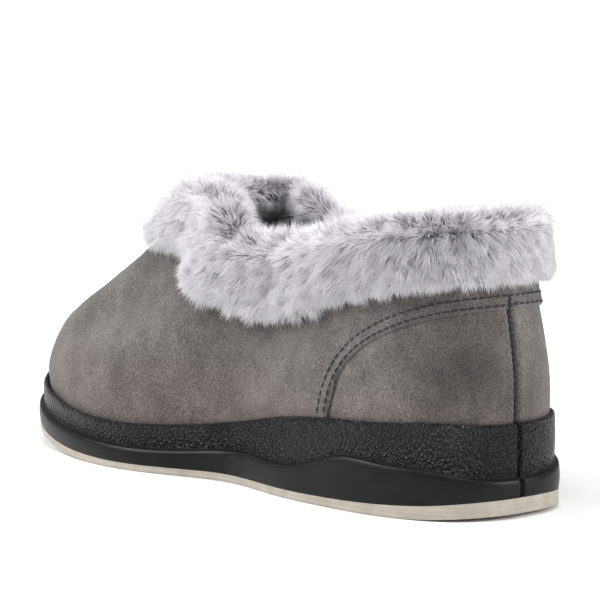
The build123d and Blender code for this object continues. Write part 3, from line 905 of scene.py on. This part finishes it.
class SLIPPER_OT_insides(bpy.types.Operator):
    """Finishes of the pieces inside the slipper"""
    bl_idname = "slipper.insides"
    bl_label = "Insides"

    def execute(self, context):
        # Painted shade: the lining's mauve is darkened to the shade it lies in inside the slipper.
        shaded_fleece = cloth("fleece_lining", (0.10, 0.085, 0.10), (0.22, 0.19, 0.215), 500.0, 0.0012, 0.5)
        for name in ("footbed_cover", "vamp_lining", "quarter_lining"):
            dress(name, shaded_fleece)
        dress("vamp_backing", cloth("backing_felt", (0.30, 0.29, 0.28), (0.42, 0.41, 0.40), 700.0, 0.0004))
        board = cloth("fibre_board", (0.34, 0.27, 0.18), (0.46, 0.38, 0.27), 900.0, 0.0002, 0.0)
        dress("insole_board", board)
        dress("footbed_foam", cloth("foam", (0.62, 0.60, 0.50), (0.78, 0.76, 0.67), 1500.0, 0.0004, 0.0))
        sheet = cloth("stiffener_sheet", (0.52, 0.50, 0.45), (0.62, 0.60, 0.55), 400.0, 0.0002, 0.0)
        dress("heel_stiffener", sheet)
        dress("toe_puff", sheet)
        return {"FINISHED"}


class SLIPPER_OT_upper(bpy.types.Operator):
    """Vamp and quarter in one piece, two heel counter panels and their stitching"""
    bl_idname = "slipper.upper"
    bl_label = "Upper"

    def execute(self, context):
        hide = nubuck()
        build_quarter(hide)
        build_counters(hide)
        build_stitching(cloth("thread", (0.010, 0.010, 0.012), (0.03, 0.03, 0.034), 2500.0, 0.0002, 0.1))
        return {"FINISHED"}


class SLIPPER_OT_collar(bpy.types.Operator):
    """Turned-down faux-fur collar in two halves"""
    bl_idname = "slipper.collar"
    bl_label = "Fur collar"

    def execute(self, context):
        collar = Collar()
        pelt = cloth("pelt", (0.42, 0.39, 0.42), (0.54, 0.51, 0.545), 600.0, 0.001, 0.3)
        build_collar_backing(collar, pelt)
        fur = pile("faux_fur", (0.50, 0.475, 0.50), (0.70, 0.68, 0.71), (0.82, 0.80, 0.83))
        build_fur(collar, context.scene.slipper, fur)
        return {"FINISHED"}


def dress(node_name, material):
    """A finish for a CAD piece that stays as it is."""
    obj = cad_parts[node_name]
    for place in obj.material_slots:
        place.material = material


def aim(obj, target):
    obj.rotation_euler = (Vector(target) - obj.location).to_track_quat("-Z", "Y").to_euler()


def soft_light(name, place, target, size, power):
    data = bpy.data.lights.new(name, "AREA")
    data.shape, data.size, data.energy = "DISK", size, power
    lamp = bpy.data.objects.new(name, data)
    lamp.location = place
    aim(lamp, target)
    bpy.context.scene.collection.objects.link(lamp)


class SLIPPER_OT_stage(bpy.types.Operator):
    """Pale floor, soft studio light and the camera"""
    bl_idname = "slipper.stage"
    bl_label = "Stage"

    def execute(self, context):
        scene = context.scene
        settings = scene.slipper
        mesh = bpy.data.meshes.new("floor")
        bm = bmesh.new()
        bmesh.ops.create_grid(bm, x_segments=1, y_segments=1, size=FLOOR_HALF)
        bm.to_mesh(mesh)
        bm.free()
        floor = bpy.data.objects.new("floor", mesh)
        floor.location.z = -0.0002
        scene.collection.objects.link(floor)
        material, tree, shader = new_material("floor_white")
        shader.inputs["Base Color"].default_value = (0.93, 0.93, 0.93, 1)
        shader.inputs["Roughness"].default_value = 0.9
        glow = graded(tree, distance_from(tree, (0, 0, 0)), 0.2, 0.7, 0.0, 0.85)
        tree.links.new(glow, shader.inputs["Emission Strength"])
        shader.inputs["Emission Color"].default_value = (1, 1, 1, 1)
        mesh.materials.append(material)
        world = bpy.data.worlds.new("studio")
        world.use_nodes = True
        links, nodes = world.node_tree.links, world.node_tree.nodes
        rays = nodes.new("ShaderNodeLightPath")
        level = nodes.new("ShaderNodeMapRange")
        level.inputs["To Min"].default_value, level.inputs["To Max"].default_value = 0.36, 1.0
        links.new(rays.outputs["Is Camera Ray"], level.inputs["Value"])
        links.new(level.outputs["Result"], nodes["Background"].inputs["Strength"])
        nodes["Background"].inputs["Color"].default_value = (1, 1, 1, 1)
        scene.world = world
        scene.view_settings.view_transform = "Standard"
        soft_light("key", (0.9, 1.3, 1.1), (0, 0, 0.05), 1.0, 34)
        soft_light("heel", (-1.5, -0.9, 0.8), (0, 0, 0.05), 0.9, 24)
        soft_light("top", (-0.3, 0.2, 1.8), (0, 0, 0.05), 1.4, 20)
        azimuth, height = settings.camera_azimuth, settings.camera_height
        flat = math.cos(height)
        back = Vector((math.sin(azimuth) * flat, -math.cos(azimuth) * flat, math.sin(height)))
        right = Vector((math.cos(azimuth), math.sin(azimuth), 0))
        up = back.cross(right)
        target = Vector((0, 0, 0.045)) + right * 0.0070 + up * 0.0174
        data = bpy.data.cameras.new("camera")
        data.sensor_width, data.lens = 36.0, 243.0
        data.clip_end = 30.0
        camera = bpy.data.objects.new("camera", data)
        camera.location = target + back * settings.camera_distance
        aim(camera, target)
        scene.collection.objects.link(camera)
        scene.camera = camera
        return {"FINISHED"}


class SLIPPER_PT_panel(bpy.types.Panel):
    bl_label = "Fluffy house slipper"
    bl_idname = "SLIPPER_PT_panel"
    bl_space_type = "VIEW_3D"
    bl_region_type = "UI"
    bl_category = "Slipper"

    def draw(self, context):
        settings = context.scene.slipper
        for name in ("strands_per_half", "pile_length", "camera_azimuth", "camera_height", "camera_distance"):
            self.layout.prop(settings, name)
        for operator in OPERATORS:
            self.layout.operator(operator.bl_idname)


OPERATORS = (SLIPPER_OT_sole, SLIPPER_OT_insides, SLIPPER_OT_upper, SLIPPER_OT_collar, SLIPPER_OT_stage)
CLASSES = (SlipperSettings, *OPERATORS, SLIPPER_PT_panel)


def register():
    for cls in CLASSES:
        bpy.utils.register_class(cls)
    bpy.types.Scene.slipper = bpy.props.PointerProperty(type=SlipperSettings)


def unregister():
    del bpy.types.Scene.slipper
    for cls in reversed(CLASSES):
        bpy.utils.unregister_class(cls)


def main():
    register()
    bpy.ops.slipper.sole()
    bpy.ops.slipper.insides()
    bpy.ops.slipper.upper()
    bpy.ops.slipper.collar()
    bpy.ops.slipper.stage()


if __name__ == "__main__":
    main()
